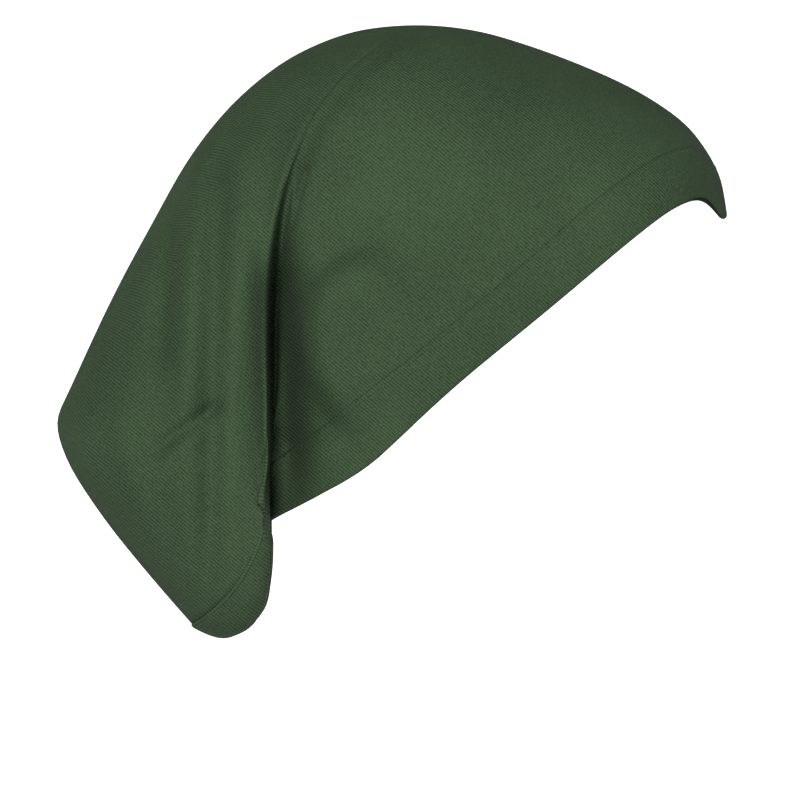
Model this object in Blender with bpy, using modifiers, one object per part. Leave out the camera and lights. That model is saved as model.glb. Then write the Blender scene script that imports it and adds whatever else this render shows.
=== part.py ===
"""Hijab underscarf cap: a soft jersey cap, worn, with its pouch hanging behind.

The face looks along +X, +Z is up, and the left and right halves mirror each
other across Y = 0.  The origin is at the inside of the crown, where the cap
rests on a head.
"""
import math

import bmesh
import bpy
import numpy as np

# Sizes
LENGTH = 0.2415           # tip of the forehead edge to the back of the pouch
HEIGHT = 0.2200           # top of the crown to the underside of the pouch
HALF_WIDTH = 0.0720       # middle of the cap to the outside of the cloth
WALL = 0.0015             # jersey, two layers
HEM_WALL = 0.0026         # the turned band round the face
SEAM_RADIUS = 0.0013      # the roll of the end seam
GAP = 0.0004              # air left between two sewn pieces

CROWN_AT = 0.5276         # share of the length, from the back, over the head's top

NAPE_AT = 0.90            # share of the hem line where the hood leaves it

LOBE_DIP = 0.020          # how far the edge hangs lower below the ear
LOBE_AT = 0.72            # share of the edge, from the forehead to the nape

SOFT_START = 0.008        # share of a row over which its bend sets in

HALF_STEPS = 22           # mesh steps from the middle line down one side

# Rows of the hood, from the hem line over the head to the end seam.  Each row
# runs from the middle line at the top down one side to its end near the nape.
# top and end: shares of LENGTH from the back and of HEIGHT from the bottom.
# bow: how far the row leaves a straight line, share of its own length, with
# rise and fall as powers that say where.  wide: share of HALF_WIDTH at the
# widest point, at: where along the row, out: share left at the end.
# top_round and end_round: powers of the curve, 2 is an ellipse.
ROW_COLUMNS = ("name", "top_x", "top_z", "end_x", "end_z", "bow", "rise",
               "fall", "wide", "at", "out", "top_round", "end_round", "steps")
ROWS = (
    ("hem_line", 0.989, 0.770, 0.292, 0.263, 0.072, 0.20, 1.90,
     0.975, 0.50, 0.00, 2.4, 2.0, 2),
    ("brow", 0.952, 0.826, 0.3165, 0.2835, 0.086, 0.60, 1.60,
     0.985, 0.49, 0.375, 2.3, 2.0, 2),
    ("front", 0.868, 0.891, 0.3155, 0.2850, 0.104, 0.80, 1.50,
     0.990, 0.48, 0.385, 2.2, 2.0, 2),
    ("top_front", 0.770, 0.940, 0.3145, 0.2865, 0.120, 0.88, 1.45,
     0.990, 0.47, 0.395, 2.1, 2.0, 2),
    ("over_ear", 0.700, 0.968, 0.3135, 0.2875, 0.132, 0.90, 1.45,
     0.985, 0.46, 0.405, 2.05, 1.9, 2),
    ("ear_back", 0.645, 0.986, 0.3120, 0.2880, 0.146, 0.90, 1.50,
     0.980, 0.44, 0.42, 2.0, 1.8, 2),
    ("sunken", 0.606, 0.995, 0.3105, 0.2880, 0.154, 0.90, 1.55,
     0.975, 0.42, 0.435, 2.0, 1.6, 1),
    ("pleat_front", 0.585, 0.998, 0.3080, 0.2860, 0.157, 0.90, 1.58,
     0.970, 0.40, 0.45, 2.0, 1.4, 2),
    ("pleat_deep", 0.570, 1.000, 0.3030, 0.2800, 0.158, 0.90, 1.60,
     0.970, 0.38, 0.50, 2.0, 1.25, 2),
    ("pleat_back", 0.556, 1.000, 0.3020, 0.2640, 0.156, 0.90, 1.60,
     0.975, 0.40, 0.68, 2.0, 1.5, 2),
    ("pleat_rim", 0.549, 1.000, 0.3025, 0.2450, 0.154, 0.90, 1.60,
     0.985, 0.50, 0.86, 2.0, 1.8, 2),
    ("lip", 0.541, 1.000, 0.305, 0.222, 0.152, 0.90, 1.60,
     0.995, 0.60, 0.975, 2.0, 2.0, 1),
    ("lip_back", 0.518, 1.000, 0.306, 0.2185, 0.148, 0.90, 1.60,
     1.005, 0.60, 0.980, 2.0, 2.0, 2),
    ("upper_back", 0.452, 0.991, 0.308, 0.2155, 0.130, 0.85, 1.60,
     0.995, 0.62, 0.98, 2.0, 2.0, 2),
    ("shoulder", 0.365, 0.956, 0.309, 0.2125, 0.100, 0.80, 1.50,
     0.985, 0.64, 0.97, 2.0, 2.0, 2),
    ("back_high", 0.274, 0.883, 0.310, 0.2095, 0.065, 0.80, 1.40,
     0.980, 0.68, 0.96, 2.0, 2.0, 2),
    ("back_upper", 0.201, 0.787, 0.310, 0.2070, 0.040, 0.90, 1.20,
     0.978, 0.72, 0.96, 2.0, 2.0, 2),
    ("back_mid", 0.145, 0.679, 0.311, 0.2045, 0.015, 0.90, 1.20,
     0.975, 0.78, 0.95, 2.1, 2.0, 3),
    ("back_low", 0.084, 0.554, 0.312, 0.2020, 0.000, 1.00, 1.00,
     0.965, 0.88, 0.95, 2.2, 2.0, 3),
    ("corner_over", 0.020, 0.402, 0.312, 0.1995, 0.000, 1.00, 1.00,
     0.955, 0.92, 0.94, 2.3, 2.0, 1),
    ("corner", 0.000, 0.350, 0.312, 0.1980, 0.000, 1.00, 1.00,
     0.950, 0.95, 0.94, 2.3, 2.0, 1),
    ("corner_under", 0.014, 0.293, 0.312, 0.1965, 0.010, 1.00, 1.00,
     0.945, 0.96, 0.94, 2.3, 2.0, 2),
    ("heel", 0.068, 0.198, 0.312, 0.1935, 0.030, 1.00, 1.00,
     0.935, 0.98, 0.93, 2.2, 2.0, 3),
    ("sole", 0.143, 0.095, 0.312, 0.1880, 0.065, 1.00, 1.00,
     0.925, 0.99, 0.92, 2.1, 2.0, 2),
    ("seam", 0.204, 0.018, 0.312, 0.178, 0.097, 1.00, 1.00,
     0.915, 1.00, 0.91, 2.0, 2.0, 1),
)

# The two closed rows of the hem, from the edge of the cloth to the hem line.
HEM_ROWS = (
    ("edge", 1.000, 0.689, 0.301, 0.185, 0.067, 0.17, 2.20,
     0.950, 0.52, 0.00, 2.4, 2.0, 2),
    ROWS[0],
)

# Soft folds pressed into the side of the pouch and the bulge over the ear.
# from and to: shares of LENGTH and HEIGHT in the side view.  half: half the
# fold's width and rise: how far it stands out (minus: in), shares of LENGTH.
FOLD_COLUMNS = ("name", "from_x", "from_z", "to_x", "to_z", "half", "rise")
FOLDS = (
    ("behind_lip", 0.262, 0.640, 0.246, 0.180, 0.026, -0.0085),
    ("side_ridge", 0.205, 0.640, 0.190, 0.400, 0.024, 0.0060),
    ("back_hollow", 0.172, 0.690, 0.150, 0.500, 0.030, -0.0060),
    ("heel_dimple", 0.215, 0.350, 0.160, 0.316, 0.016, -0.0060),
    ("ear_root", 0.372, 0.560, 0.366, 0.430, 0.020, -0.0040),
)
EAR = {"x": 0.425, "z": 0.480, "lean": 0.20, "back": 0.050, "front": 0.150,
       "tall": 0.140, "rise": 0.0330}


# Curves
def place(share_x, share_z):
    """Side-view position in metres from shares of the length and the height."""
    return np.array([(share_x - CROWN_AT) * LENGTH,
                     (share_z - 1.0) * HEIGHT + WALL])


def row_curve(row, points):
    """One row as points at equal steps, from the middle line down one side."""
    cell = dict(zip(ROW_COLUMNS, row))
    top = place(cell["top_x"], cell["top_z"])
    end = place(cell["end_x"], cell["end_z"])
    along = (1.0 - np.cos(np.linspace(0.0, math.pi, 401))) / 2.0
    chord = end - top
    length = np.linalg.norm(chord)
    outward = np.array([chord[1], -chord[0]]) / length
    peak = cell["rise"] / (cell["rise"] + cell["fall"])
    crest = peak ** cell["rise"] * (1.0 - peak) ** cell["fall"]
    lift = along / (along + SOFT_START) ** (1.0 - cell["rise"])
    bend = lift * (1.0 - along) ** cell["fall"] / crest
    side = top + np.outer(along, chord)
    side += np.outer(bend * cell["bow"] * length, outward)
    widest = cell["wide"] * HALF_WIDTH
    left = min(cell["out"] / cell["wide"], 1.0)
    power = cell["end_round"]
    cut = (1.0 - left ** power) ** (1.0 / power)
    before = np.clip(1.0 - along / cell["at"], 0.0, 1.0)
    after = np.clip((along - cell["at"]) / max(1.0 - cell["at"], 1e-6), 0.0, 1.0)
    first = (1.0 - before ** cell["top_round"]) ** (1.0 / cell["top_round"])
    last = (1.0 - (after * cut) ** power) ** (1.0 / power)
    half = widest * np.where(along < cell["at"], first, last)
    curve = np.column_stack([side[:, 0], half, side[:, 1]])
    return even_steps(curve, points)


def even_steps(curve, points):
    """The same curve with its points at equal distances."""
    step = np.linalg.norm(np.diff(curve, axis=0), axis=1)
    run = np.concatenate([[0.0], np.cumsum(step)])
    want = np.linspace(0.0, run[-1], points)
    return np.column_stack([np.interp(want, run, curve[:, k]) for k in range(3)])


def gentle(first, second):
    """The slope between two steps that never swings past either of them."""
    both = first * second
    total = np.where(both > 0.0, first + second, 1.0)
    return np.where(both > 0.0, 2.0 * both / total, 0.0)


def loft(curves, steps):
    """A smooth sheet through the rows, with the given steps to the next row."""
    rows = []
    last = len(curves) - 1
    for k in range(last):
        before = curves[max(k - 1, 0)]
        here = curves[k]
        after = curves[k + 1]
        beyond = curves[min(k + 2, last)]
        here_slope = gentle(here - before, after - here) if k > 0 else after - here
        after_slope = gentle(after - here, beyond - after)
        if k + 2 > last:
            after_slope = after - here
        for j in range(steps[k]):
            t = j / steps[k]
            rows.append((2 * t**3 - 3 * t**2 + 1) * here
                        + (t**3 - 2 * t**2 + t) * here_slope
                        + (-2 * t**3 + 3 * t**2) * after
                        + (t**3 - t**2) * after_slope)
    rows.append(curves[last])
    return np.array(rows)


def relief(sheet):
    """Presses the folds into a sheet and lifts it over the ear."""
    out = sheet.copy()
    x = sheet[..., 0]
    z = sheet[..., 2]
    fade = np.clip(sheet[..., 1] / (0.55 * HALF_WIDTH), 0.0, 1.0) ** 2
    for row in FOLDS:
        cell = dict(zip(FOLD_COLUMNS, row))
        a = place(cell["from_x"], cell["from_z"])
        b = place(cell["to_x"], cell["to_z"])
        line = b - a
        t = ((x - a[0]) * line[0] + (z - a[1]) * line[1]) / line.dot(line)
        on = np.clip(t, 0.0, 1.0)
        away = np.hypot(x - a[0] - on * line[0], z - a[1] - on * line[1])
        ends = np.exp(-((t - on) * np.linalg.norm(line) / (0.10 * LENGTH)) ** 2)
        half = cell["half"] * LENGTH
        across = np.abs((x - a[0]) * line[1] - (z - a[1]) * line[0])
        across = across / np.linalg.norm(line)
        shape = np.exp(-(np.where(t == on, away, across) / half) ** 2) * ends
        out[..., 1] += cell["rise"] * LENGTH * shape * fade
    ear = place(EAR["x"], EAR["z"])
    dx = (x - ear[0]) / LENGTH
    dz = (z - ear[1]) / LENGTH
    u = dx * math.cos(EAR["lean"]) - dz * math.sin(EAR["lean"])
    v = dx * math.sin(EAR["lean"]) + dz * math.cos(EAR["lean"])
    reach = np.where(u < 0.0, EAR["back"], EAR["front"])
    bulge = np.exp(-((u / reach) ** 2 + (v / EAR["tall"]) ** 2) ** 1.5)
    out[..., 1] += EAR["rise"] * LENGTH * bulge * fade
    return out


def pull_back(sheet, edge, inner, distance):
    """Draws one edge of the sheet back, and evens out the rows up to another."""
    rows = np.arange(abs(inner - edge) + 1) * (1 if inner > edge else -1) + edge
    for j in range(sheet.shape[1]):
        line = sheet[rows, j]
        run = np.concatenate([[0.0], np.cumsum(np.linalg.norm(np.diff(line, axis=0), axis=1))])
        want = np.linspace(distance[j], run[-1], len(rows))
        for k in range(3):
            sheet[rows, j, k] = np.interp(want, run, line[:, k])


def mitre(first, second):
    """Half-turn tangents where two sheets meet in a bend, column by column."""
    one = first / np.linalg.norm(first, axis=-1, keepdims=True)
    two = second / np.linalg.norm(second, axis=-1, keepdims=True)
    turn = np.arccos(np.clip((one * two).sum(axis=-1), -1.0, 1.0))
    return np.tan(np.minimum(turn, 1.4) / 2.0)


# Sheets
def hood_rows():
    """The hood's rows, each from the middle line down the +Y side."""
    curves = [row_curve(row, HALF_STEPS + 1) for row in ROWS]
    loop = row_curve(ROWS[0], 401)
    kept = np.arange(401) < 401 * NAPE_AT
    curves[0] = even_steps(loop[kept], HALF_STEPS + 1)
    steps = [row[-1] for row in ROWS]
    return relief(loft(curves, steps))


def hem_rows():
    """The hem's rows, from the edge of the cloth to the hem line."""
    curves = [row_curve(row, HALF_STEPS + 1) for row in HEM_ROWS]
    along = np.linspace(0.0, 1.0, HALF_STEPS + 1)
    dip = LOBE_DIP * LENGTH * np.exp(-((along - LOBE_AT) / 0.11) ** 2)
    curves[0][:, 2] -= dip
    return relief(loft(curves, [row[-1] for row in HEM_ROWS]))


def both_sides(half, closed):
    """Mirrors rows of the +Y side, so that each row runs from end to end."""
    mirror = half[:, ::-1, :] * np.array([1.0, -1.0, 1.0])
    if closed:
        return np.concatenate([mirror[:, 1:, :], half[:, 1:, :]], axis=1)
    return np.concatenate([mirror[:, :-1, :], half], axis=1)


def base_rows(hood):
    """The underside: from the nape and the pleats back to the end seam."""
    across = 14
    seam = even_steps(hood[-1], across + 1)
    nape = row_curve(ROWS[0], 401)[::-1]
    nape = nape[:int(401 * (1.0 - NAPE_AT))]
    lip = sum(row[-1] for row in ROWS[:[row[0] for row in ROWS].index("lip")])
    edge = hood[1:lip + 1, -1, :]
    front = even_steps(np.concatenate([nape, edge]), across + 1)
    inside = np.array([1.0, 1.0 - (2.0 * WALL + 3.0 * GAP) / HALF_WIDTH, 1.0])
    leave = np.array([0.87, 0.0, -0.49])
    rows = []
    for j in range(across + 1):
        a = front[j] * inside
        a = a - np.array([WALL + 2.0 * GAP, 0.0, WALL])
        b = seam[j] * inside + leave * (SEAM_RADIUS + 2.0 * GAP)
        a[1] = min(a[1], seam[-1, 1] * inside[1])
        reach = np.linalg.norm(b - a)
        first = a + reach * np.array([0.0, 0.0, -0.90])
        second = b + reach * 0.41 * leave
        t = np.linspace(0.0, 1.0, 11)[:, None]
        rows.append((1 - t)**3 * a + 3 * t * (1 - t)**2 * first
                    + 3 * t**2 * (1 - t) * second + t**3 * b)
    return np.array(rows).transpose(1, 0, 2)


# Objects
def new_material(name, colour, rough):
    material = bpy.data.materials.new(name)
    material.use_nodes = True
    shader = material.node_tree.nodes["Principled BSDF"]
    shader.inputs["Base Color"].default_value = (*colour, 1.0)
    shader.inputs["Roughness"].default_value = rough
    return material


def new_sheet(name, rows, closed, outward_up, thickness, offset, material, home):
    """A thin solid: a grid of rows given its thickness by Solidify."""
    mesh = bpy.data.meshes.new(name)
    bm = bmesh.new()
    grid = [[bm.verts.new(point) for point in row] for row in rows]
    count = len(grid[0])
    for i in range(len(grid) - 1):
        for j in range(count if closed else count - 1):
            k = (j + 1) % count
            face = [grid[i][j], grid[i][k], grid[i + 1][k], grid[i + 1][j]]
            bm.faces.new(face if outward_up else face[::-1])
    for face in bm.faces:
        face.smooth = True
    bm.to_mesh(mesh)
    bm.free()
    body = bpy.data.objects.new(name, mesh)
    home.objects.link(body)
    shell = body.modifiers.new("wall", 'SOLIDIFY')
    shell.thickness = thickness
    shell.offset = offset
    shell.use_quality_normals = True
    shell.thickness_clamp = 0.0
    body.data.materials.append(material)
    return body


def new_roll(name, points, radius, material, home):
    """A round roll of cloth along a line of points."""
    curve = bpy.data.curves.new(name, 'CURVE')
    curve.dimensions = '3D'
    spline = curve.splines.new('POLY')
    spline.points.add(len(points) - 1)
    for spot, point in zip(spline.points, points):
        spot.co = (*point, 1.0)
    curve.bevel_depth = radius
    curve.bevel_resolution = 2
    curve.use_fill_caps = True
    body = bpy.data.objects.new(name, curve)
    home.objects.link(body)
    body.data.materials.append(material)
    return body


def build():
    for old in list(bpy.data.objects):
        bpy.data.objects.remove(old, do_unlink=True)
    home = bpy.data.collections.new("hijab_underscarf_cap")
    bpy.context.scene.collection.children.link(home)

    green = (0.048, 0.093, 0.045)
    jersey = new_material("jersey", green, 0.9)
    hem_cloth = new_material("hem_jersey", green, 0.9)
    base_cloth = new_material("base_jersey", green, 0.9)
    seam_cloth = new_material("seam_jersey", green, 0.9)

    hood = hood_rows()
    hem = hem_rows()
    base = base_rows(hood)
    seam = both_sides(hood[-1:, :-2], False)[0]

    hood_cut = hood.copy()
    shares = np.linspace(0.0, 1.0, HALF_STEPS + 1) * NAPE_AT * HALF_STEPS
    steps = np.arange(HALF_STEPS + 1)
    hem_way = hem[-1] - hem[-2]
    hood_way = hood[1] - hood[0]
    way = np.column_stack([np.interp(shares, steps, hem_way[:, k]) for k in range(3)])
    bend = mitre(way, hood_way)
    pull_back(hood_cut, 0, 3, GAP / 2.0 + WALL * bend)
    bend = np.interp(steps, shares, bend)
    pull_back(hem, -1, -2, GAP / 2.0 + HEM_WALL * bend)
    pull_back(hood_cut, -1, -6, np.full(HALF_STEPS + 1, SEAM_RADIUS + GAP))

    new_sheet("hood_body", both_sides(hood_cut, False), False, True,
              WALL, -1.0, jersey, home)
    new_sheet("face_hem", both_sides(hem, True), True, True,
              HEM_WALL, -1.0, hem_cloth, home)
    new_sheet("pouch_base", both_sides(base, False), False, False,
              WALL, 1.0, base_cloth, home)
    new_roll("pouch_seam", seam, SEAM_RADIUS, seam_cloth, home)


build()
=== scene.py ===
# %% [markdown]
# # A hijab underscarf cap in soft jersey
#
# The cap is knitted tube cloth. It lies tight over a head, ends in a turned
# band round the face, folds into a deep pleat behind each ear, and hangs on
# behind as a pouch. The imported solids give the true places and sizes. This
# lesson dresses them: every visible sheet is laid again with many more points,
# so that the soft folds, the seams and the knit can show.

import math

import bmesh
import bpy
import numpy as np
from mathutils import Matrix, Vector


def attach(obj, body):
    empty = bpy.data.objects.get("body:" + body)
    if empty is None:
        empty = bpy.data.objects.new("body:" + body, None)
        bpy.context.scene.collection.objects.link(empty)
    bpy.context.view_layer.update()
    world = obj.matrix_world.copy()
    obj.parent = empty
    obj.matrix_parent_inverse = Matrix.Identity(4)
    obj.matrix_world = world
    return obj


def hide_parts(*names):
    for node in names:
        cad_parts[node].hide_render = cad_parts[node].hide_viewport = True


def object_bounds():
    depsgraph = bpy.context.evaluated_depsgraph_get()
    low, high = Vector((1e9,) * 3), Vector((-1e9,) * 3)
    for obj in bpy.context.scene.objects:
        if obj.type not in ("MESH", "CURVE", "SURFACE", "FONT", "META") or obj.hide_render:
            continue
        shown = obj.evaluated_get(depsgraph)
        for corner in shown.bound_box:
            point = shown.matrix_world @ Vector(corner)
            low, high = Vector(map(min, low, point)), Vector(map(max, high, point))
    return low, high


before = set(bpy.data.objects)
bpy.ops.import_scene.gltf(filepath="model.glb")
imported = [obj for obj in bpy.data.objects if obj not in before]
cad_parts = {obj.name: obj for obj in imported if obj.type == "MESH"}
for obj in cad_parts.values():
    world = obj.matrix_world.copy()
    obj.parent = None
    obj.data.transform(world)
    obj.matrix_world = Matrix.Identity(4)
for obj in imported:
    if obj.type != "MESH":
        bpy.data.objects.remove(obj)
CAD_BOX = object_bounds()
print("solids:", sorted(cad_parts))
print("box of the solids:", CAD_BOX)

# %% [markdown]
# ## The cap's own measures
#
# Three driving sizes place everything: how long the cap is from brow to
# pouch, how high, and how wide each half is. The length comes from the
# solids' box, and the other two follow it in the proportions that the cap
# was drawn in. Every place below is a share of those, so the lesson stays
# right if the cap is scaled. Only cloth thicknesses and the finest details
# are plain metres.

# %% Driving sizes
LOW, HIGH = [np.array(corner) for corner in CAD_BOX]
LENGTH = HIGH[0] - LOW[0]
CLOTH = 0.0015
DRAWN_LENGTH = 0.2415
DRAWN_HEIGHT = 0.2200
DRAWN_HALF_WIDTH = 0.0720
HEIGHT = DRAWN_HEIGHT * LENGTH / DRAWN_LENGTH
HALF_WIDTH = DRAWN_HALF_WIDTH * LENGTH / DRAWN_LENGTH
CROWN_AT = -LOW[0] / LENGTH
print("length %.4f  height %.4f  half width %.4f" % (LENGTH, HEIGHT, HALF_WIDTH))


def place(share_x, share_z):
    """A side-view place in metres, from shares of the length and the height."""
    return np.array([(share_x - CROWN_AT) * LENGTH,
                     (share_z - 1.0) * HEIGHT + CLOTH])


# %% [markdown]
# ## The rows that shape the cloth
#
# A pattern cutter would pin cords over a dressed head: one along the seam of
# the band, more over the crown, a few close together where the pleat turns
# in behind the ear, and the rest down the pouch to its end seam. Each line of
# the table is one such cord, from the middle line at the top down one side.
# The same table shapes the solids, but for the roundness of its first line, so
# the cloth lies where they are. The last column says how many mesh rows lie
# between a cord and the next.

# %% Table of rows
ROW_COLUMNS = ("name", "top_x", "top_z", "end_x", "end_z", "bow", "rise",
               "fall", "wide", "at", "out", "top_round", "end_round", "steps")
ROWS = (
    ("hem_line", 0.989, 0.770, 0.292, 0.263, 0.072, 0.20, 1.90,
     0.975, 0.50, 0.00, 3.2, 2.0, 7),
    ("brow", 0.952, 0.826, 0.3165, 0.2835, 0.086, 0.60, 1.60,
     0.985, 0.49, 0.375, 2.3, 2.0, 7),
    ("front", 0.868, 0.891, 0.3155, 0.2850, 0.104, 0.80, 1.50,
     0.990, 0.48, 0.385, 2.2, 2.0, 7),
    ("top_front", 0.770, 0.940, 0.3145, 0.2865, 0.120, 0.88, 1.45,
     0.990, 0.47, 0.395, 2.1, 2.0, 6),
    ("over_ear", 0.700, 0.968, 0.3135, 0.2875, 0.132, 0.90, 1.45,
     0.985, 0.46, 0.405, 2.05, 1.9, 5),
    ("ear_back", 0.645, 0.986, 0.3120, 0.2880, 0.146, 0.90, 1.50,
     0.980, 0.44, 0.42, 2.0, 1.8, 4),
    ("sunken", 0.606, 0.995, 0.3105, 0.2880, 0.154, 0.90, 1.55,
     0.975, 0.42, 0.435, 2.0, 1.6, 3),
    ("pleat_front", 0.585, 0.998, 0.3080, 0.2860, 0.157, 0.90, 1.58,
     0.970, 0.40, 0.45, 2.0, 1.4, 4),
    ("pleat_deep", 0.570, 1.000, 0.3030, 0.2800, 0.158, 0.90, 1.60,
     0.970, 0.38, 0.50, 2.0, 1.25, 4),
    ("pleat_back", 0.556, 1.000, 0.3020, 0.2640, 0.156, 0.90, 1.60,
     0.975, 0.40, 0.68, 2.0, 1.5, 4),
    ("pleat_rim", 0.549, 1.000, 0.3025, 0.2450, 0.154, 0.90, 1.60,
     0.985, 0.50, 0.86, 2.0, 1.8, 4),
    ("lip", 0.541, 1.000, 0.305, 0.222, 0.152, 0.90, 1.60,
     0.995, 0.60, 0.975, 2.0, 2.0, 4),
    ("lip_back", 0.518, 1.000, 0.306, 0.2185, 0.148, 0.90, 1.60,
     1.005, 0.60, 0.980, 2.0, 2.0, 5),
    ("upper_back", 0.452, 0.991, 0.308, 0.2155, 0.130, 0.85, 1.60,
     0.995, 0.62, 0.98, 2.0, 2.0, 6),
    ("shoulder", 0.365, 0.956, 0.309, 0.2125, 0.100, 0.80, 1.50,
     0.985, 0.64, 0.97, 2.0, 2.0, 6),
    ("back_high", 0.274, 0.883, 0.310, 0.2095, 0.065, 0.80, 1.40,
     0.980, 0.68, 0.96, 2.0, 2.0, 6),
    ("back_upper", 0.201, 0.787, 0.310, 0.2070, 0.040, 0.90, 1.20,
     0.978, 0.72, 0.96, 2.0, 2.0, 6),
    ("back_mid", 0.145, 0.679, 0.311, 0.2045, 0.015, 0.90, 1.20,
     0.975, 0.78, 0.95, 2.1, 2.0, 7),
    ("back_low", 0.084, 0.554, 0.312, 0.2020, 0.000, 1.00, 1.00,
     0.965, 0.88, 0.95, 2.2, 2.0, 7),
    ("corner_over", 0.020, 0.402, 0.312, 0.1995, 0.000, 1.00, 1.00,
     0.955, 0.92, 0.94, 2.3, 2.0, 4),
    ("corner", 0.000, 0.350, 0.312, 0.1980, 0.000, 1.00, 1.00,
     0.950, 0.95, 0.94, 2.3, 2.0, 4),
    ("corner_under", 0.014, 0.293, 0.312, 0.1965, 0.010, 1.00, 1.00,
     0.945, 0.96, 0.94, 2.3, 2.0, 5),
    ("heel", 0.068, 0.198, 0.312, 0.1935, 0.030, 1.00, 1.00,
     0.935, 0.98, 0.93, 2.2, 2.0, 7),
    ("sole", 0.143, 0.095, 0.312, 0.1880, 0.065, 1.00, 1.00,
     0.925, 0.99, 0.92, 2.1, 2.0, 7),
    ("seam", 0.204, 0.018, 0.312, 0.178, 0.097, 1.00, 1.00,
     0.915, 1.00, 0.91, 2.0, 2.0, 0),
)
BAND_EDGE = ("edge", 1.000, 0.689, 0.301, 0.185, 0.067, 0.17, 2.20,
             0.950, 0.52, 0.00, 3.4, 2.0, 0)
NAMES = [row[0] for row in ROWS]
LIP = NAMES.index("lip")
print("rows:", len(ROWS), "from", NAMES[0], "to", NAMES[-1])

# %% [markdown]
# ## From a row to points
#
# A row leaves the middle line square to it, swings out to its widest place
# and comes in again towards the nape, in two pieces of a superellipse. Its
# bow bends it backwards in the side view. Points at equal steps keep the
# mesh even.

# %% Points along one row
SOFT_START = 0.0018
FINE = 1201


def even_steps(curve, points):
    """The same curve with its points at equal distances."""
    step = np.linalg.norm(np.diff(curve, axis=0), axis=1)
    run = np.concatenate([[0.0], np.cumsum(step)])
    want = np.linspace(0.0, run[-1], points)
    return np.column_stack([np.interp(want, run, curve[:, k]) for k in range(3)])


def row_curve(row, points):
    """One row as points at equal steps, from the middle line down one side."""
    cell = dict(zip(ROW_COLUMNS, row))
    top = place(cell["top_x"], cell["top_z"])
    end = place(cell["end_x"], cell["end_z"])
    along = (1.0 - np.cos(np.linspace(0.0, math.pi, FINE))) / 2.0
    chord = end - top
    length = np.linalg.norm(chord)
    outward = np.array([chord[1], -chord[0]]) / length
    peak = cell["rise"] / (cell["rise"] + cell["fall"])
    crest = peak ** cell["rise"] * (1.0 - peak) ** cell["fall"]
    lift = along / (along + SOFT_START) ** (1.0 - cell["rise"])
    bend = lift * (1.0 - along) ** cell["fall"] / crest
    side = top + np.outer(along, chord)
    side += np.outer(bend * cell["bow"] * length, outward)
    left = min(cell["out"] / cell["wide"], 1.0)
    power = cell["end_round"]
    cut = (1.0 - left ** power) ** (1.0 / power)
    before = np.clip(1.0 - along / cell["at"], 0.0, 1.0)
    after = np.clip((along - cell["at"]) / max(1.0 - cell["at"], 1e-6), 0.0, 1.0)
    first = (1.0 - before ** cell["top_round"]) ** (1.0 / cell["top_round"])
    last = (1.0 - (after * cut) ** power) ** (1.0 / power)
    half = cell["wide"] * HALF_WIDTH * np.where(along < cell["at"], first, last)
    return even_steps(np.column_stack([side[:, 0], half, side[:, 1]]), points)


SIDE_POINTS = 141
print("points on the lip row:", row_curve(ROWS[LIP], SIDE_POINTS).shape)

# %% [markdown]
# ## From rows to a smooth sheet
#
# Between two rows the sheet follows a cubic whose slope never swings past its
# neighbours, so that the close rows of the pleat make no ripples. A little
# smoothing afterwards takes away the last trace of the single rows, as cloth
# under light tension would.

# %% A sheet through the rows
def gentle(first, second):
    """The slope between two steps that never swings past either of them."""
    both = first * second
    total = np.where(both > 0.0, first + second, 1.0)
    return np.where(both > 0.0, 2.0 * both / total, 0.0)


def cubic(t, a, slope_a, b, slope_b):
    """The place at t between two places with given slopes."""
    return ((2 * t**3 - 3 * t**2 + 1) * a + (t**3 - 2 * t**2 + t) * slope_a
            + (-2 * t**3 + 3 * t**2) * b + (t**3 - t**2) * slope_b)


def loft(curves, steps):
    """A smooth sheet through the rows, and the table row of each of its rows."""
    rows = []
    index = []
    last = len(curves) - 1
    for k in range(last):
        here = curves[k]
        after = curves[k + 1]
        here_slope = gentle(here - curves[k - 1], after - here) if k > 0 else after - here
        if k + 2 > last:
            after_slope = after - here
        else:
            after_slope = gentle(after - here, curves[k + 2] - after)
        for j in range(steps[k]):
            t = j / steps[k]
            rows.append(cubic(t, here, here_slope, after, after_slope))
            index.append(k + t)
    rows.append(curves[last])
    index.append(float(last))
    return np.array(rows), np.array(index)


def soften(sheet, times):
    """Averages each inner point with its neighbours, a few times over."""
    for _ in range(times):
        inner = 0.5 * sheet[1:-1] + 0.25 * (sheet[:-2] + sheet[2:])
        sheet = np.concatenate([sheet[:1], inner, sheet[-1:]])
        inner = 0.5 * sheet[:, 1:-1] + 0.25 * (sheet[:, :-2] + sheet[:, 2:])
        sheet = np.concatenate([sheet[:, :1], inner, sheet[:, -1:]], axis=1)
        sheet[:, 0, 1] = 0.0
    return sheet


ROW_STEPS = [row[-1] for row in ROWS]
print("mesh rows over the hood:", sum(ROW_STEPS) + 1)

# %% [markdown]
# ## Folds of the worn cloth
#
# The pouch hangs free, so its sides carry soft upright folds and one slanting
# dimple. Each fold is a line in the side view with a half width and a height,
# all as shares of the length. The shape across a fold is a bell, which fades
# out at both ends.

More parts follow.
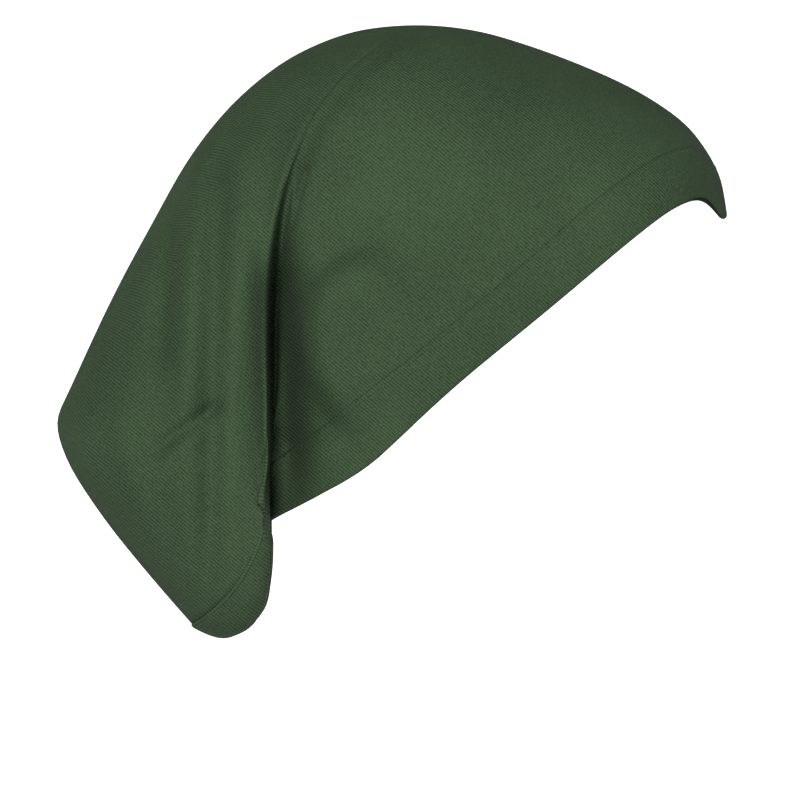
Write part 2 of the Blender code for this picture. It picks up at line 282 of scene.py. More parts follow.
# %% Table of folds
FOLD_COLUMNS = ("name", "from_x", "from_z", "to_x", "to_z", "half", "rise")
FOLDS = (
    ("lip_slope", 0.318, 0.800, 0.302, 0.170, 0.048, -0.0260),
    ("long_hollow", 0.246, 0.740, 0.232, 0.130, 0.021, -0.0230),
    ("side_ridge", 0.207, 0.760, 0.199, 0.400, 0.020, 0.0140),
    ("back_hollow", 0.178, 0.760, 0.160, 0.480, 0.018, -0.0240),
    ("shoulder_fold", 0.300, 0.870, 0.225, 0.740, 0.022, -0.0070),
    ("dimple", 0.228, 0.366, 0.172, 0.322, 0.011, -0.0140),
    ("under_dimple", 0.215, 0.325, 0.170, 0.292, 0.012, 0.0050),
    ("heel_hollow", 0.150, 0.300, 0.175, 0.160, 0.022, -0.0100),
    ("heel_ridge", 0.100, 0.330, 0.130, 0.200, 0.020, 0.0060),
    ("behind_ear", 0.338, 0.545, 0.341, 0.335, 0.030, -0.0920),
    ("hem_ledge", 0.458, 0.352, 0.382, 0.300, 0.0055, 0.0045),
)
LONGEST_FADE = 0.10


def fold_shape(sheet, cell):
    """How strongly one fold acts at every point of a sheet, from 0 to 1."""
    a = place(cell["from_x"], cell["from_z"])
    b = place(cell["to_x"], cell["to_z"])
    line = b - a
    size = np.linalg.norm(line)
    x = sheet[..., 0] - a[0]
    z = sheet[..., 2] - a[1]
    t = (x * line[0] + z * line[1]) / size**2
    past = (t - np.clip(t, 0.0, 1.0)) * size
    across = np.abs(x * line[1] - z * line[0]) / size
    fade = min(LONGEST_FADE, 2.5 * cell["half"]) * LENGTH
    ends = np.exp(-(past / fade) ** 2)
    return np.exp(-(across / (cell["half"] * LENGTH)) ** 2) * ends


print("folds:", [row[0] for row in FOLDS])

# %% [markdown]
# ## The cloth over the ear
#
# The ear holds the cloth off the head like a tent. Behind, it drops along a
# clear curved edge, and in front it runs out softly. The bulge is an ellipse
# whose flank is steep at the back and gentle in front. Near the middle line
# nothing is pressed, so both sides still meet.

# %% Ear and all folds together
EAR = {"x": 0.4710, "z": 0.4849, "lean": -0.06, "back": 0.1050, "front": 0.230,
       "tall": 0.1240, "rise": 0.0540, "steep": 10.0, "soft": 2.1,
       "turn_from": -0.60, "turn_to": 0.45, "turn_lean": 0.25}
FREE_SIDE = 0.55


def smooth(low, high, value):
    """Runs from 0 at low to 1 at high with a soft start and end."""
    t = np.clip((value - low) / (high - low), 0.0, 1.0)
    return t * t * (3.0 - 2.0 * t)


def relief(sheet):
    """Presses the folds into one side of the cloth and lifts it over the ear."""
    out = sheet.copy()
    fade = np.clip(sheet[..., 1] / (FREE_SIDE * HALF_WIDTH), 0.0, 1.0) ** 2
    for row in FOLDS:
        cell = dict(zip(FOLD_COLUMNS, row))
        out[..., 1] += cell["rise"] * LENGTH * fold_shape(sheet, cell) * fade
    ear = place(EAR["x"], EAR["z"])
    dx = (sheet[..., 0] - ear[0]) / LENGTH
    dz = (sheet[..., 2] - ear[1]) / LENGTH
    u = dx * math.cos(EAR["lean"]) - dz * math.sin(EAR["lean"])
    v = dx * math.sin(EAR["lean"]) + dz * math.cos(EAR["lean"])
    turn = u / EAR["back"] - EAR["turn_lean"] * v / EAR["tall"]
    ahead = smooth(EAR["turn_from"], EAR["turn_to"], turn)
    reach = EAR["back"] + (EAR["front"] - EAR["back"]) * ahead
    power = EAR["steep"] + (EAR["soft"] - EAR["steep"]) * ahead
    r = np.sqrt((u / reach) ** 2 + (v / EAR["tall"]) ** 2)
    out[..., 1] += EAR["rise"] * LENGTH * np.exp(-r ** power) * fade
    return out


print("ear stands out by %.1f mm" % (1000.0 * EAR["rise"] * LENGTH))

# %% [markdown]
# ## The pleat
#
# Behind the ear the tube is folded over itself. The fold's lip stands proud,
# and next to it the cloth turns in deeply, so the gap reads dark. Towards the
# middle line the pleat opens out and is gone before the crown, and at its
# lower end it dies away towards the band.

# %% Pleat
PLEAT_ROW = 8.2
PLEAT_HALF = 1.45
PLEAT_HIGH = 0.0052
PLEAT_LOW = 0.0145
LIP_ROLL = 0.0026
LIP_PEAK = LIP + 0.4
LIP_HALF = 0.8
DEEPER = (0.62, 0.46)
PLEAT_ENDS = (0.205, 0.300)
LIP_ENDS = (0.19, 0.24)
PLEAT_RUN_OUT = 0.030
LIP_RUN_OUT = 0.008
FADE_FROM = 0.012
FADE_TO = 0.040
OPEN_ROWS = (4.5, 13.0)


def open_pleat(sheet, index):
    """Lets the pleat run out towards the middle line."""
    first, last = np.searchsorted(index, OPEN_ROWS)
    a = sheet[first]
    b = sheet[last]
    span = last - first
    slope_a = (sheet[first + 1] - sheet[first - 1]) / 2.0 * span
    slope_b = (sheet[last + 1] - sheet[last - 1]) / 2.0 * span
    size = np.linalg.norm(b - a, axis=1, keepdims=True)
    slope_a *= size / np.maximum(np.linalg.norm(slope_a, axis=1, keepdims=True), 1e-9)
    slope_b *= size / np.maximum(np.linalg.norm(slope_b, axis=1, keepdims=True), 1e-9)
    step = np.linalg.norm(np.diff(a, axis=0), axis=1)
    run = np.concatenate([[0.0], np.cumsum(step)])
    shut = smooth(FADE_FROM, FADE_TO, run)[:, None]
    out = sheet.copy()
    for k in range(first, last + 1):
        plain = cubic((k - first) / span, a, slope_a, b, slope_b)
        out[k] = plain + (sheet[k] - plain) * shut
    return out


def deepen_pleat(sheet, index):
    """Draws the pleat inwards and rolls its lip outwards."""
    share_z = (sheet[..., 2] - CLOTH) / HEIGHT + 1.0
    low = smooth(*DEEPER, share_z)
    depth = PLEAT_HIGH + (PLEAT_LOW - PLEAT_HIGH) * low
    depth = depth * smooth(*PLEAT_ENDS, share_z)
    across = np.exp(-(np.abs(index - PLEAT_ROW) / PLEAT_HALF) ** 2.5)[:, None]
    across = across * (index < LIP)[:, None]
    lip = np.exp(-((index - LIP_PEAK) / LIP_HALF) ** 2)[:, None]
    step = np.linalg.norm(np.diff(sheet, axis=1), axis=2)
    run = np.concatenate([np.zeros((len(sheet), 1)), np.cumsum(step, axis=1)], axis=1)
    shut = smooth(FADE_FROM, FADE_TO, run)
    left = run[:, -1:] - run
    out = sheet.copy()
    out[..., 1] -= depth * across * shut * smooth(0.0, PLEAT_RUN_OUT, left)
    rolled = LIP_ROLL * lip * shut * smooth(0.0, LIP_RUN_OUT, left)
    out[..., 1] += rolled * smooth(*LIP_ENDS, share_z)
    return out


print("pleat drawn in by %.1f to %.1f mm" % (1000.0 * PLEAT_HIGH, 1000.0 * PLEAT_LOW))

# %% [markdown]
# ## The knit lies along the cloth
#
# Jersey has fine ribs, so the pattern must follow the cloth. Each mesh gets
# two UV maps in metres of cloth. The first is the side view, let out to the
# true length where a row curves over the top, which suits the sides. The
# second counts from the middle line outwards, so that the two sides join over
# the crown and the back.

# %% Metres of cloth
FLAT_SHARE = 35
LET_OUT = 0.20


def middle_metres(sheet):
    """Way along each row from the middle line, and way across the rows."""
    step = np.linalg.norm(np.diff(sheet, axis=1), axis=2)
    u = np.concatenate([np.zeros((len(sheet), 1)), np.cumsum(step, axis=1)], axis=1)
    across = np.linalg.norm(np.diff(sheet, axis=0), axis=2)
    middle = across[:, :sheet.shape[1] // 4].mean(axis=1)
    v = np.concatenate([[0.0], np.cumsum(middle)])
    return np.stack([u, np.broadcast_to(v[:, None], u.shape)], axis=-1)


def side_metres(sheet):
    """The side view of each row, let out to its true length."""
    step = np.diff(sheet, axis=1)
    true = np.linalg.norm(step, axis=2, keepdims=True)
    view = step[..., [0, 2]]
    chord = sheet[:, -1:, [0, 2]] - sheet[:, :1, [0, 2]]
    chord = chord / np.linalg.norm(chord, axis=2, keepdims=True)
    way = view + LET_OUT * true * chord
    way = way / np.linalg.norm(way, axis=2, keepdims=True) * true
    flat = sheet.shape[1] * FLAT_SHARE // 100
    way[:, flat:] = view[:, flat:]
    run = np.concatenate([np.zeros_like(way[:, :1]), np.cumsum(way, axis=1)], axis=1)
    return run - run[:, flat:flat + 1] + sheet[:, flat:flat + 1, [0, 2]]


print("plain side view beyond %d percent of each row" % FLAT_SHARE)

# %% [markdown]
# ## Laying a sheet
#
# One helper lays every sheet: Blender's own grid operator makes the mesh, and
# each of its points is then carried to its place on the form. Both halves are
# laid at once, so the middle line has no seam.

# %% The laying helper
def mirror_rows(half, flip=(1.0, -1.0, 1.0)):
    """Adds the other side, so that each row runs from end to end."""
    other = half[:, ::-1] * np.array(flip)
    return np.concatenate([other[:, :-1], half], axis=1)


def cloth_maps(half):
    """Both maps of one side, with the other side added."""
    return {"side": mirror_rows(side_metres(half), (1.0, 1.0)),
            "middle": mirror_rows(middle_metres(half), (-1.0, 1.0))}


def lay_cloth(name, rows, maps, closed=False):
    """A mesh object from a grid of places, with its metres of cloth as UVs."""
    count_rows, count_columns = rows.shape[:2]
    bm = bmesh.new()
    bmesh.ops.create_grid(bm, x_segments=count_columns - 1,
                          y_segments=count_rows - 1, size=0.5)
    where = {}
    for vert in bm.verts:
        j = round((vert.co.x + 0.5) * (count_columns - 1))
        i = round((vert.co.y + 0.5) * (count_rows - 1))
        where[vert] = (i, j)
        vert.co = rows[i, j]
    for key, metres in maps.items():
        layer = bm.loops.layers.uv.new(key)
        for face in bm.faces:
            for loop in face.loops:
                loop[layer].uv = metres[where[loop.vert]]
    for face in bm.faces:
        face.smooth = True
    if closed:
        bmesh.ops.remove_doubles(bm, verts=bm.verts, dist=1e-6)
    mesh = bpy.data.meshes.new(name)
    bm.to_mesh(mesh)
    bm.free()
    piece = bpy.data.objects.new(name, mesh)
    bpy.context.scene.collection.objects.link(piece)
    return piece


def face_out(piece, spot, outward):
    """Turns the whole sheet if its face nearest a place looks inwards."""
    bm = bmesh.new()
    bm.from_mesh(piece.data)
    face = min(bm.faces, key=lambda f: (f.calc_center_median() - Vector(spot)).length)
    if face.normal.dot(Vector(outward)) < 0.0:
        bmesh.ops.reverse_faces(bm, faces=bm.faces)
    bm.to_mesh(piece.data)
    bm.free()


def add_wall(piece, thickness, offset):
    """Gives a sheet its cloth thickness, and returns the modifier."""
    wall = piece.modifiers.new("wall", 'SOLIDIFY')
    wall.thickness = thickness
    wall.offset = offset
    wall.use_quality_normals = True
    return wall


print("cloth of the solids: %.1f mm" % (1000.0 * CLOTH))

# %% [markdown]
# ## One side of the hood
#
# On the real cap this is one tube of jersey. Here one side of it runs from the
# seam of the band over the crown to the end seam of the pouch. The first row
# stops at the nape, where the underside of the pouch takes over.

# %% One side of the hood
NAPE_AT = 0.90
hood_curves = [row_curve(row, SIDE_POINTS) for row in ROWS]
band_line = row_curve(ROWS[0], FINE)
hood_curves[0] = even_steps(band_line[:int(FINE * NAPE_AT)], SIDE_POINTS)
plain_hood, hood_index = loft(hood_curves, ROW_STEPS)
plain_hood = soften(open_pleat(plain_hood, hood_index), 3)
hood_half = relief(deepen_pleat(plain_hood, hood_index))
print("hood side, rows and points:", hood_half.shape[:2])

# %% [markdown]
# ## The lip covers the pleat
#
# Folds must not push the hidden layers out from under the lip. So, on the
# lower half of the side, rows in front of the lip stay ahead of it and below
# its level, and rows behind it stay behind its edge. Then the tight lower end
# of the pleat is smoothed.

# %% Lip over the pleat
FIRST_COVERED = 6.5
UNDER_LIP = 0.0011
AHEAD_OF_LIP = 0.0005
END_SLACK = 0.002
CALM_PART = (0.78, 0.92)
CALM_ROWS = 4.0
lip_at = int(np.searchsorted(hood_index, LIP))
half_way = SIDE_POINTS // 2
lip_x, lip_y, lip_z = hood_half[lip_at, half_way:].T.copy()
for k in range(int(np.searchsorted(hood_index, FIRST_COVERED)), len(hood_half)):
    part_x, part_y, part_z = hood_half[k, half_way:].T.copy()
    limit = np.interp(part_z, lip_z[::-1], lip_x[::-1])
    if k < lip_at:
        rows_off = LIP - hood_index[k]
        roof = np.interp(part_z, lip_z[::-1], lip_y[::-1]) - UNDER_LIP * rows_off
        hood_half[k, half_way:, 1] = np.minimum(part_y, roof)
        hood_half[k, half_way:, 0] = np.maximum(part_x, limit + AHEAD_OF_LIP * rows_off)
    elif k > lip_at:
        above_end = part_z > lip_z[-1] + END_SLACK
        hood_half[k, half_way:, 0] = np.where(above_end, np.minimum(part_x, limit), part_x)
along = np.linspace(0.0, 1.0, SIDE_POINTS)
calm = smooth(*CALM_PART, along)[None, :, None]
calm = calm * np.exp(-((hood_index - LIP) / CALM_ROWS) ** 4)[:, None, None]
hood_half = hood_half + (soften(hood_half, 4) - hood_half) * calm
print("lip row:", lip_at, "of", len(hood_half))

# %% [markdown]
# ## Hood and band run on as one
#
# The band's outer layer lies between its free edge, which dips at the ear
# lobe, and the seam. Worn jersey shows no step there, so both sheets are
# joined, smoothed across the seam near the forehead, and parted again.

# %% Outer layer of the band
BAND_ROWS = 12
LOBE_DIP = 0.020
LOBE_AT = 0.72
LOBE_HALF = 0.11
SHARED_ROWS = 7.0
SHARED_PART = (0.30, 0.55)
edge = row_curve(BAND_EDGE, SIDE_POINTS)
edge[:, 2] -= LOBE_DIP * LENGTH * np.exp(-((along - LOBE_AT) / LOBE_HALF) ** 2)
seam_line = row_curve(ROWS[0], SIDE_POINTS)
outer = relief(np.array([edge + (seam_line - edge) * k / BAND_ROWS
                         for k in range(BAND_ROWS + 1)]))


def at_shares(rows, shares):
    """Each row read at other shares of its way."""
    return np.array([np.column_stack([np.interp(shares, along, row[:, k])
                                      for k in range(3)]) for row in rows])


joined = np.concatenate([at_shares(outer[:-1], along * NAPE_AT), hood_half])
near = np.exp(-((np.arange(len(joined)) - BAND_ROWS) / SHARED_ROWS) ** 2)[:, None, None]
near = near * (1.0 - smooth(*SHARED_PART, along))[None, :, None]
move = (soften(joined, 40) - joined) * near
hood_half = hood_half + move[BAND_ROWS:]
outer = outer + at_shares(move[:BAND_ROWS + 1], np.minimum(along / NAPE_AT, 1.0))
print("moved at the seam by up to %.1f mm" % (1000.0 * np.abs(move).max()))

# %% [markdown]
# ## The hood is laid
#
# An extra row close to the seam keeps its edge crisp. The sheet gets its
# thickness inwards, and a vertex group makes it thinner in the pleat, where
# the layers lie close together.

# %% Hood
HOOD_WALL = 0.0012
EDGE_SHARE = 0.35
THIN_AT = 9.5
THIN_ROWS = 2.2
THINNER_BY = 0.8
edge_row = hood_half[0] + EDGE_SHARE * (hood_half[1] - hood_half[0])
hood_laid = np.concatenate([hood_half[:1], edge_row[None], hood_half[1:]])
hood = lay_cloth("jersey_hood", mirror_rows(hood_laid), cloth_maps(hood_laid))
face_out(hood, (0.0, 0.0, CLOTH), (0.0, 0.0, 1.0))
thin = hood.vertex_groups.new(name="wall_share")
laid_index = np.concatenate([hood_index[:1], hood_index])
wall_share = 1.0 - THINNER_BY * np.exp(-((laid_index - THIN_AT) / THIN_ROWS) ** 4)
row_size = 2 * SIDE_POINTS - 1
for i, value in enumerate(wall_share):
    thin.add(list(range(i * row_size, (i + 1) * row_size)), float(value), 'REPLACE')
hood_wall = add_wall(hood, HOOD_WALL, -1.0)
hood_wall.vertex_group = "wall_share"
hood_wall.thickness_vertex_group = 0.1
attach(hood, "root")
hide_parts("hood_body")
print("hood faces:", len(hood.data.polygons))

# %% [markdown]
# ## The band round the face
#
# The band is the same cloth turned in and sewn down, so it is twice as thick
# and its free edge is a round fold. Its section is drawn as a closed loop: the
# outer layer, half a circle round the fold, and the inner layer back up.

# %% Band
BAND_WALL = 0.0026
BAND_PUFF = 0.00012


def sheet_normals(sheet):
    """Outward directions of one side's sheet, from its own steps."""
    across = np.gradient(sheet, axis=0)
    along_row = np.gradient(sheet, axis=1)
    normal = np.cross(along_row, across)
    normal /= np.linalg.norm(normal, axis=2, keepdims=True)
    middle = sheet.mean(axis=(0, 1)) * np.array([1.0, 0.0, 1.0])
    flip = np.sign(((sheet - middle) * normal).sum(axis=2).mean())
    normal = normal * flip
    normal[:, 0, 1] = 0.0
    return normal / np.linalg.norm(normal, axis=2, keepdims=True)


outward = sheet_normals(outer)
puff = np.sin(np.linspace(0.0, math.pi, BAND_ROWS + 1)) ** 0.5 * BAND_PUFF
outer = outer + outward * puff[:, None, None]
inner = outer - outward * BAND_WALL
down = outer[0] - outer[1]
down /= np.linalg.norm(down, axis=1, keepdims=True)
turns = np.linspace(0.0, math.pi, 7)[1:-1]
middle = (outer[0] + inner[0]) / 2.0
fold = [middle + BAND_WALL / 2.0 * (math.cos(t) * outward[0] + math.sin(t) * down)
        for t in turns]
section = np.concatenate([outer[::-1], np.array(fold), inner, outer[-1:]])
band = lay_cloth("turned_band", mirror_rows(section), cloth_maps(section), closed=True)
face_out(band, (HIGH[0], 0.0, place(1.0, 0.73)[1]), (1.0, 0.0, 0.0))
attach(band, "root")
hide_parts("face_hem")
print("band faces:", len(band.data.polygons))

# %% [markdown]
# ## The underside of the pouch
#
# Behind the neck the pouch is closed by a panel that hangs like a hammock
# from the nape and the pleats to the end seam. Each strip of it is a Bezier
# curve that leaves the nape straight down and reaches the seam from below.
# The outermost strips run straight, so they close against the hood's edge.

# %% Underside
ACROSS = 60
TUCK = 0.0012
DROP = 0.90
SWEEP = 0.41
LEAVE = np.array([0.87, 0.0, -0.49])
BEHIND_BAND = np.array([0.0010, 0.0, -0.0010])
PAST_SEAM = 0.0003
FIRST_WIDTH = np.array([1.0, 0.93, 1.0])
SECOND_WIDTH = np.array([1.0, 0.90, 1.0])
STRAIGHT_PART = (0.94, 1.0)
nape = band_line[::-1][:int(FINE * (1.0 - NAPE_AT))]
front = even_steps(np.concatenate([nape, hood_half[1:lip_at + 1, -1]]), ACROSS + 1)
for _ in range(2):
    front[1:-1] = 0.5 * front[1:-1] + 0.25 * (front[:-2] + front[2:])
back = even_steps(hood_half[-1], ACROSS + 1)
inside = np.array([1.0, 1.0 - TUCK / HALF_WIDTH, 1.0])
t = np.linspace(0.0, 1.0, 41)[:, None]
strips = []
for k, (a, b) in enumerate(zip(front * inside, back * inside)):
    a = a - BEHIND_BAND
    b = b + LEAVE * PAST_SEAM
    reach = np.linalg.norm(b - a)
    first = a + reach * np.array([0.0, 0.0, -DROP])
    second = b + reach * SWEEP * LEAVE
    first = first * FIRST_WIDTH
    second = second * SECOND_WIDTH
    straight = smooth(*STRAIGHT_PART, k / ACROSS)
    first = first + ((2 * a + b) / 3.0 - first) * straight
    second = second + ((a + 2 * b) / 3.0 - second) * straight
    strips.append((1 - t)**3 * a + 3 * t * (1 - t)**2 * first
                  + 3 * t**2 * (1 - t) * second + t**3 * b)
under_half = np.array(strips).transpose(1, 0, 2)
under = lay_cloth("pouch_underside", mirror_rows(under_half), cloth_maps(under_half))
face_out(under, (place(0.29, 0)[0], 0.0, place(0, 0.12)[1]), (1.0, 0.0, -0.3))
add_wall(under, CLOTH, 0.0)
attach(under, "root")
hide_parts("pouch_base")
print("underside faces:", len(under.data.polygons))

# %% [markdown]
# ## The end seam
#
# Where the two cloths are sewn together their edges roll into a thin cord of
# cloth. It is laid as a sheet whose rows are rings round the seam line.

# %% Seam roll
SEAM_RADIUS = 0.0006
RING = 12
SEAM_POINTS = 181
TAPER_POINTS = 6.0
path = even_steps(mirror_rows(hood_half[-1:])[0], SEAM_POINTS)
tangent = np.gradient(path, axis=0)
tangent /= np.linalg.norm(tangent, axis=1, keepdims=True)
side = np.cross(tangent, np.array([0.0, 0.0, 1.0]))
side /= np.linalg.norm(side, axis=1, keepdims=True)
up = np.cross(side, tangent)
from_end = np.minimum(np.arange(SEAM_POINTS), np.arange(SEAM_POINTS)[::-1])
taper = np.clip(from_end / TAPER_POINTS, 0.15, 1.0) ** 0.5
rings = []
for k in range(RING + 1):
    turn = 2.0 * math.pi * k / RING
    rings.append(path + (SEAM_RADIUS * taper)[:, None]
                 * (math.cos(turn) * side + math.sin(turn) * up))
rings = np.array(rings)
roll = lay_cloth("end_seam", rings, {"side": rings[..., [0, 2]],
                                     "middle": middle_metres(rings)}, closed=True)
bm = bmesh.new()
bm.from_mesh(roll.data)
bmesh.ops.holes_fill(bm, edges=[one for one in bm.edges if one.is_boundary], sides=0)
bmesh.ops.recalc_face_normals(bm, faces=bm.faces)
bm.to_mesh(roll.data)
bm.free()
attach(roll, "root")
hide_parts("pouch_seam")
print("seam roll faces:", len(roll.data.polygons))

# %% [markdown]
# ## Stitches
#
# A row of short stitches holds the band down just below its seam line. One
# stitch is a small squashed ball, and it is set down again and again along
# the line, turned to follow it.

# %% Stitches
STITCH_PITCH = 0.0030
STITCH_SIZE = (0.00115, 0.00024, 0.00022)
line_rows = mirror_rows(outer[-2:-1])[0]
way_rows = mirror_rows(outward[-2:-1])[0]
total = np.linalg.norm(np.diff(line_rows, axis=0), axis=1).sum()
count = int(total / STITCH_PITCH)
spots = even_steps(line_rows, count * 2 + 1)[1::2]
normals = even_steps(way_rows, count * 2 + 1)[1::2]
bm = bmesh.new()
for k in range(count):
    before = spots[k - 1] if k else spots[k]
    after = spots[min(k + 1, count - 1)]
    x_axis = Vector(after - before).normalized()
    z_axis = Vector(normals[k]).normalized()
    y_axis = z_axis.cross(x_axis).normalized()
    made = bmesh.ops.create_uvsphere(bm, u_segments=8, v_segments=5, radius=1.0)
    for vert in made["verts"]:
        x, y, z = [co * size for co, size in zip(vert.co, STITCH_SIZE)]
        vert.co = Vector(spots[k]) + x_axis * x + y_axis * y + z_axis * z
for face in bm.faces:
    face.smooth = True
bmesh.ops.recalc_face_normals(bm, faces=bm.faces)
mesh = bpy.data.meshes.new("band_stitches")
bm.to_mesh(mesh)
bm.free()
stitches = bpy.data.objects.new("band_stitches", mesh)
bpy.context.scene.collection.objects.link(stitches)
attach(stitches, "root")
print("stitches:", count)

# %% [markdown]
# ## The jersey
#
# Dark green cotton-like jersey is dull, with a faint bloom at grazing angles.
# Two sets of fine ridges, one along the tube and one across it, come from the
# metres of cloth. They raise the surface, and their grooves and the lower fuzz
# are painted darker as shade. Near the middle line the second map takes over
# from the first.

# %% Jersey material
GREEN = (0.0186, 0.0322, 0.0160)
WALE = 0.00105
COURSE = 0.00092
WANDER = 6.0
WALE_HEIGHT = 0.50
COURSE_HEIGHT = 0.22
FUZZ_HEIGHT = 0.90
# Strength of the painted shade that darkens the knit's grooves and lower fuzz.
GROOVE_SHADE_TONE = 0.42
CLOUD_TONE = 0.22
TONES = ((0.10, 0.18), (0.60, 1.75))
MAPS_MEET = (0.018, 0.036)
RIB_TURN = math.radians(-50.0)
SURFACE = {"Roughness": 0.88, "Specular IOR Level": 0.05, "Sheen Weight": 0.012,
           "Sheen Roughness": 0.45, "Sheen Tint": (0.55, 0.75, 0.50, 1.0)}


def sine_lines(nodes, links, value, pitch, bend):
    """A ridge pattern from a length in metres: 0 in the grooves, 1 on top."""
    scaled = nodes.new("ShaderNodeMath")
    scaled.operation = 'MULTIPLY_ADD'
    scaled.inputs[1].default_value = 2.0 * math.pi / pitch
    links.new(value, scaled.inputs[0])
    links.new(bend, scaled.inputs[2])
    wave = nodes.new("ShaderNodeMath")
    wave.operation = 'SINE'
    links.new(scaled.outputs[0], wave.inputs[0])
    half = nodes.new("ShaderNodeMath")
    half.operation = 'MULTIPLY_ADD'
    half.inputs[1].default_value = 0.5
    half.inputs[2].default_value = 0.5
    links.new(wave.outputs[0], half.inputs[0])
    return half.outputs[0]


def mixed(nodes, links, kind, one, two, factor=None):
    """A math node's result, from numbers or other nodes' results."""
    node = nodes.new("ShaderNodeMath")
    node.operation = kind
    for socket, value in zip(node.inputs, (one, two, factor)):
        if value is None:
            continue
        if isinstance(value, (int, float)):
            socket.default_value = value
        else:
            links.new(value, socket)
    return node.outputs[0]


def noise(nodes, links, where, scale, detail):
    """A noise pattern fixed to the object."""
    node = nodes.new("ShaderNodeTexNoise")
    node.inputs["Scale"].default_value = scale
    node.inputs["Detail"].default_value = detail
    links.new(where, node.inputs["Vector"])
    return node.outputs["Fac"]


def jersey(name, green, relief_depth):
    """Knitted jersey: ribs from both maps, fuzz, painted shade in their grooves, a cloudy
    tone and bump.
    """
    material = bpy.data.materials.new(name)
    material.use_nodes = True
    nodes = material.node_tree.nodes
    links = material.node_tree.links
    shader = nodes["Principled BSDF"]
    for socket, value in SURFACE.items():
        shader.inputs[socket].default_value = value
    where = nodes.new("ShaderNodeTexCoord").outputs["Object"]
    wander = noise(nodes, links, where, 45.0, 2.0)
    bend = mixed(nodes, links, 'MULTIPLY', wander, WANDER)
    ribs = []
    for key, turn in (("side", RIB_TURN), ("middle", 0.0)):
        cloth = nodes.new("ShaderNodeUVMap")
        cloth.uv_map = key
        turned = nodes.new("ShaderNodeVectorRotate")
        turned.rotation_type = 'Z_AXIS'
        turned.inputs["Angle"].default_value = turn
        links.new(cloth.outputs[0], turned.inputs["Vector"])
        split = nodes.new("ShaderNodeSeparateXYZ")
        links.new(turned.outputs[0], split.inputs[0])
        wales = sine_lines(nodes, links, split.outputs["X"], WALE, bend)
        courses = sine_lines(nodes, links, split.outputs["Y"], COURSE, bend)
        ribs.append(mixed(nodes, links, 'MULTIPLY_ADD', wales, WALE_HEIGHT,
                          mixed(nodes, links, 'MULTIPLY', courses, COURSE_HEIGHT)))
        if key == "middle":
            straight = nodes.new("ShaderNodeSeparateXYZ")
            links.new(cloth.outputs[0], straight.inputs[0])
            away = mixed(nodes, links, 'ABSOLUTE', straight.outputs["X"], None)
    over = nodes.new("ShaderNodeMapRange")
    over.interpolation_type = 'SMOOTHSTEP'
    over.inputs["From Min"].default_value = MAPS_MEET[0]
    over.inputs["From Max"].default_value = MAPS_MEET[1]
    links.new(away, over.inputs["Value"])
    gap = mixed(nodes, links, 'SUBTRACT', ribs[0], ribs[1])
    knit = mixed(nodes, links, 'MULTIPLY_ADD', gap, over.outputs[0], ribs[1])
    fuzz = noise(nodes, links, where, 1100.0, 3.0)
    cloud = noise(nodes, links, where, 22.0, 3.0)
    height = mixed(nodes, links, 'MULTIPLY_ADD', fuzz, FUZZ_HEIGHT, knit)
    # Painted shade: the colour darkens where the knit and fuzz are low, in the grooves;
    # the cloud adds random tone.
    groove_shade_and_cloud = mixed(nodes, links, 'MULTIPLY_ADD', height, GROOVE_SHADE_TONE,
                  mixed(nodes, links, 'MULTIPLY', cloud, CLOUD_TONE))
    ramp = nodes.new("ShaderNodeValToRGB")
    for stop, (position, tone) in zip(ramp.color_ramp.elements, TONES):
        stop.position = position
        stop.color = (*[tone * c for c in green], 1.0)
    links.new(groove_shade_and_cloud, ramp.inputs["Fac"])
    links.new(ramp.outputs["Color"], shader.inputs["Base Color"])
    bump = nodes.new("ShaderNodeBump")
    bump.inputs["Strength"].default_value = 1.0
    bump.inputs["Distance"].default_value = relief_depth
    links.new(height, bump.inputs["Height"])
    links.new(bump.outputs["Normal"], shader.inputs["Normal"])
    return material


tube_jersey = jersey("tube_jersey", GREEN, 0.00030)
# The seam roll and the stitches get the same green a tenth lighter, a painted highlight on
# the raised cord and stitches.
seam_jersey = jersey("seam_jersey", tuple(1.10 * c for c in GREEN), 0.00015)
for piece in (hood, band, under):
    piece.data.materials.append(tube_jersey)
for piece in (roll, stitches):
    piece.data.materials.append(seam_jersey)
print("materials:", tube_jersey.name, seam_jersey.name)

# %% [markdown]


# %% [markdown]
# ## Floor and backdrop
#
# The cap is shown as it is worn, in the air at head height. A plain pale floor
# lies far below, and a round pale wall stands far off, so that every view has
# the same even ground.

# %% Floor and backdrop
GROUND = -1.50
FLOOR_HALF = 13.0
WALL_RADIUS = 12.0
WALL_HEIGHT = 5.0


def stage_piece(name, bm, tone, glow):
    """A pale stage piece without shine, from a finished bmesh."""
    mesh = bpy.data.meshes.new(name)
    bm.to_mesh(mesh)
    bm.free()
    piece = bpy.data.objects.new(name, mesh)
    bpy.context.scene.collection.objects.link(piece)
    paint = bpy.data.materials.new(name)
    paint.use_nodes = True
    shader = paint.node_tree.nodes["Principled BSDF"]
    shader.inputs["Base Color"].default_value = (tone, tone, tone, 1.0)
    shader.inputs["Roughness"].default_value = 1.0
    shader.inputs["Specular IOR Level"].default_value = 0.0
    shader.inputs["Emission Color"].default_value = (1.0, 1.0, 1.0, 1.0)
    shader.inputs["Emission Strength"].default_value = glow
    piece.data.materials.append(paint)


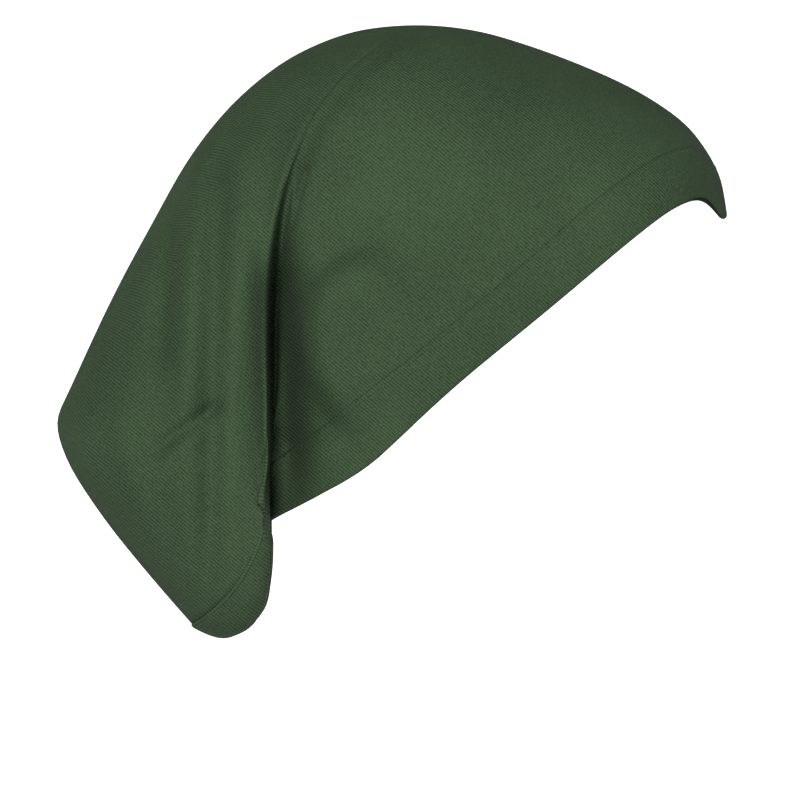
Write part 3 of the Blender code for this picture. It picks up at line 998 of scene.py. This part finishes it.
bm = bmesh.new()
bmesh.ops.create_grid(bm, x_segments=1, y_segments=1, size=FLOOR_HALF)
bmesh.ops.translate(bm, verts=bm.verts, vec=(0.0, 0.0, GROUND))
stage_piece("studio_floor", bm, 0.92, 0.30)
bm = bmesh.new()
bmesh.ops.create_circle(bm, cap_ends=False, segments=64, radius=WALL_RADIUS)
bmesh.ops.translate(bm, verts=bm.verts, vec=(0.0, 0.0, GROUND - 0.1))
risen = bmesh.ops.extrude_edge_only(bm, edges=bm.edges)
top_verts = [item for item in risen["geom"] if isinstance(item, bmesh.types.BMVert)]
bmesh.ops.translate(bm, verts=top_verts, vec=(0.0, 0.0, WALL_HEIGHT))
stage_piece("studio_wall", bm, 0.5, 1.05)
print("floor %.2f m below the crown" % -GROUND)

# %% [markdown]
# ## Light
#
# The pale room lights the cap evenly from all sides. One soft lamp, a little
# above and left of the camera's line, lets the lip throw its shadow into the
# pleat, and a weak wide one on the right adds a little to the dark places.

# %% Light
ROOM_LIGHT = 0.30
AIM = (0.0, 0.0, -0.12)
world = bpy.data.worlds.new("grey_room")
bpy.context.scene.world = world
world.use_nodes = True
background = world.node_tree.nodes["Background"]
background.inputs["Color"].default_value = (1.0, 1.0, 1.0, 1.0)
background.inputs["Strength"].default_value = ROOM_LIGHT
bpy.context.scene.view_settings.view_transform = 'Standard'


def soft_lamp(name, spot, size, power):
    """A round soft lamp that faces the cap."""
    lamp = bpy.data.lights.new(name, 'AREA')
    lamp.shape = 'DISK'
    lamp.size = size
    lamp.energy = power
    holder = bpy.data.objects.new(name, lamp)
    holder.location = spot
    way = Vector(AIM) - Vector(spot)
    holder.rotation_euler = way.to_track_quat('-Z', 'Y').to_euler()
    bpy.context.scene.collection.objects.link(holder)
    print("lamp", name, "%.0f W" % power)


soft_lamp("key", (-0.30, -2.35, 0.55), 0.36, 88.0)
soft_lamp("fill", (1.5, -2.4, 0.5), 1.2, 3.0)

# %% [markdown]
# ## Camera
#
# The camera looks square at the wearer's right side from far off, with a long
# lens, so that lengths can be read off the picture at one scale.

# %% Camera
PIXEL = 0.00036
PICTURE = 800
DISTANCE = 4.0
eye = bpy.data.cameras.new("view")
eye.sensor_width = 36.0
eye.lens = eye.sensor_width * DISTANCE / (PICTURE * PIXEL)
eye.clip_start = 0.05
camera = bpy.data.objects.new("view", eye)
camera.location = (-10 * PIXEL, -DISTANCE, -370.8 * PIXEL)
camera.rotation_euler = (math.pi / 2.0, 0.0, 0.0)
bpy.context.scene.collection.objects.link(camera)
bpy.context.scene.camera = camera
print("lens: %.1f mm" % eye.lens)
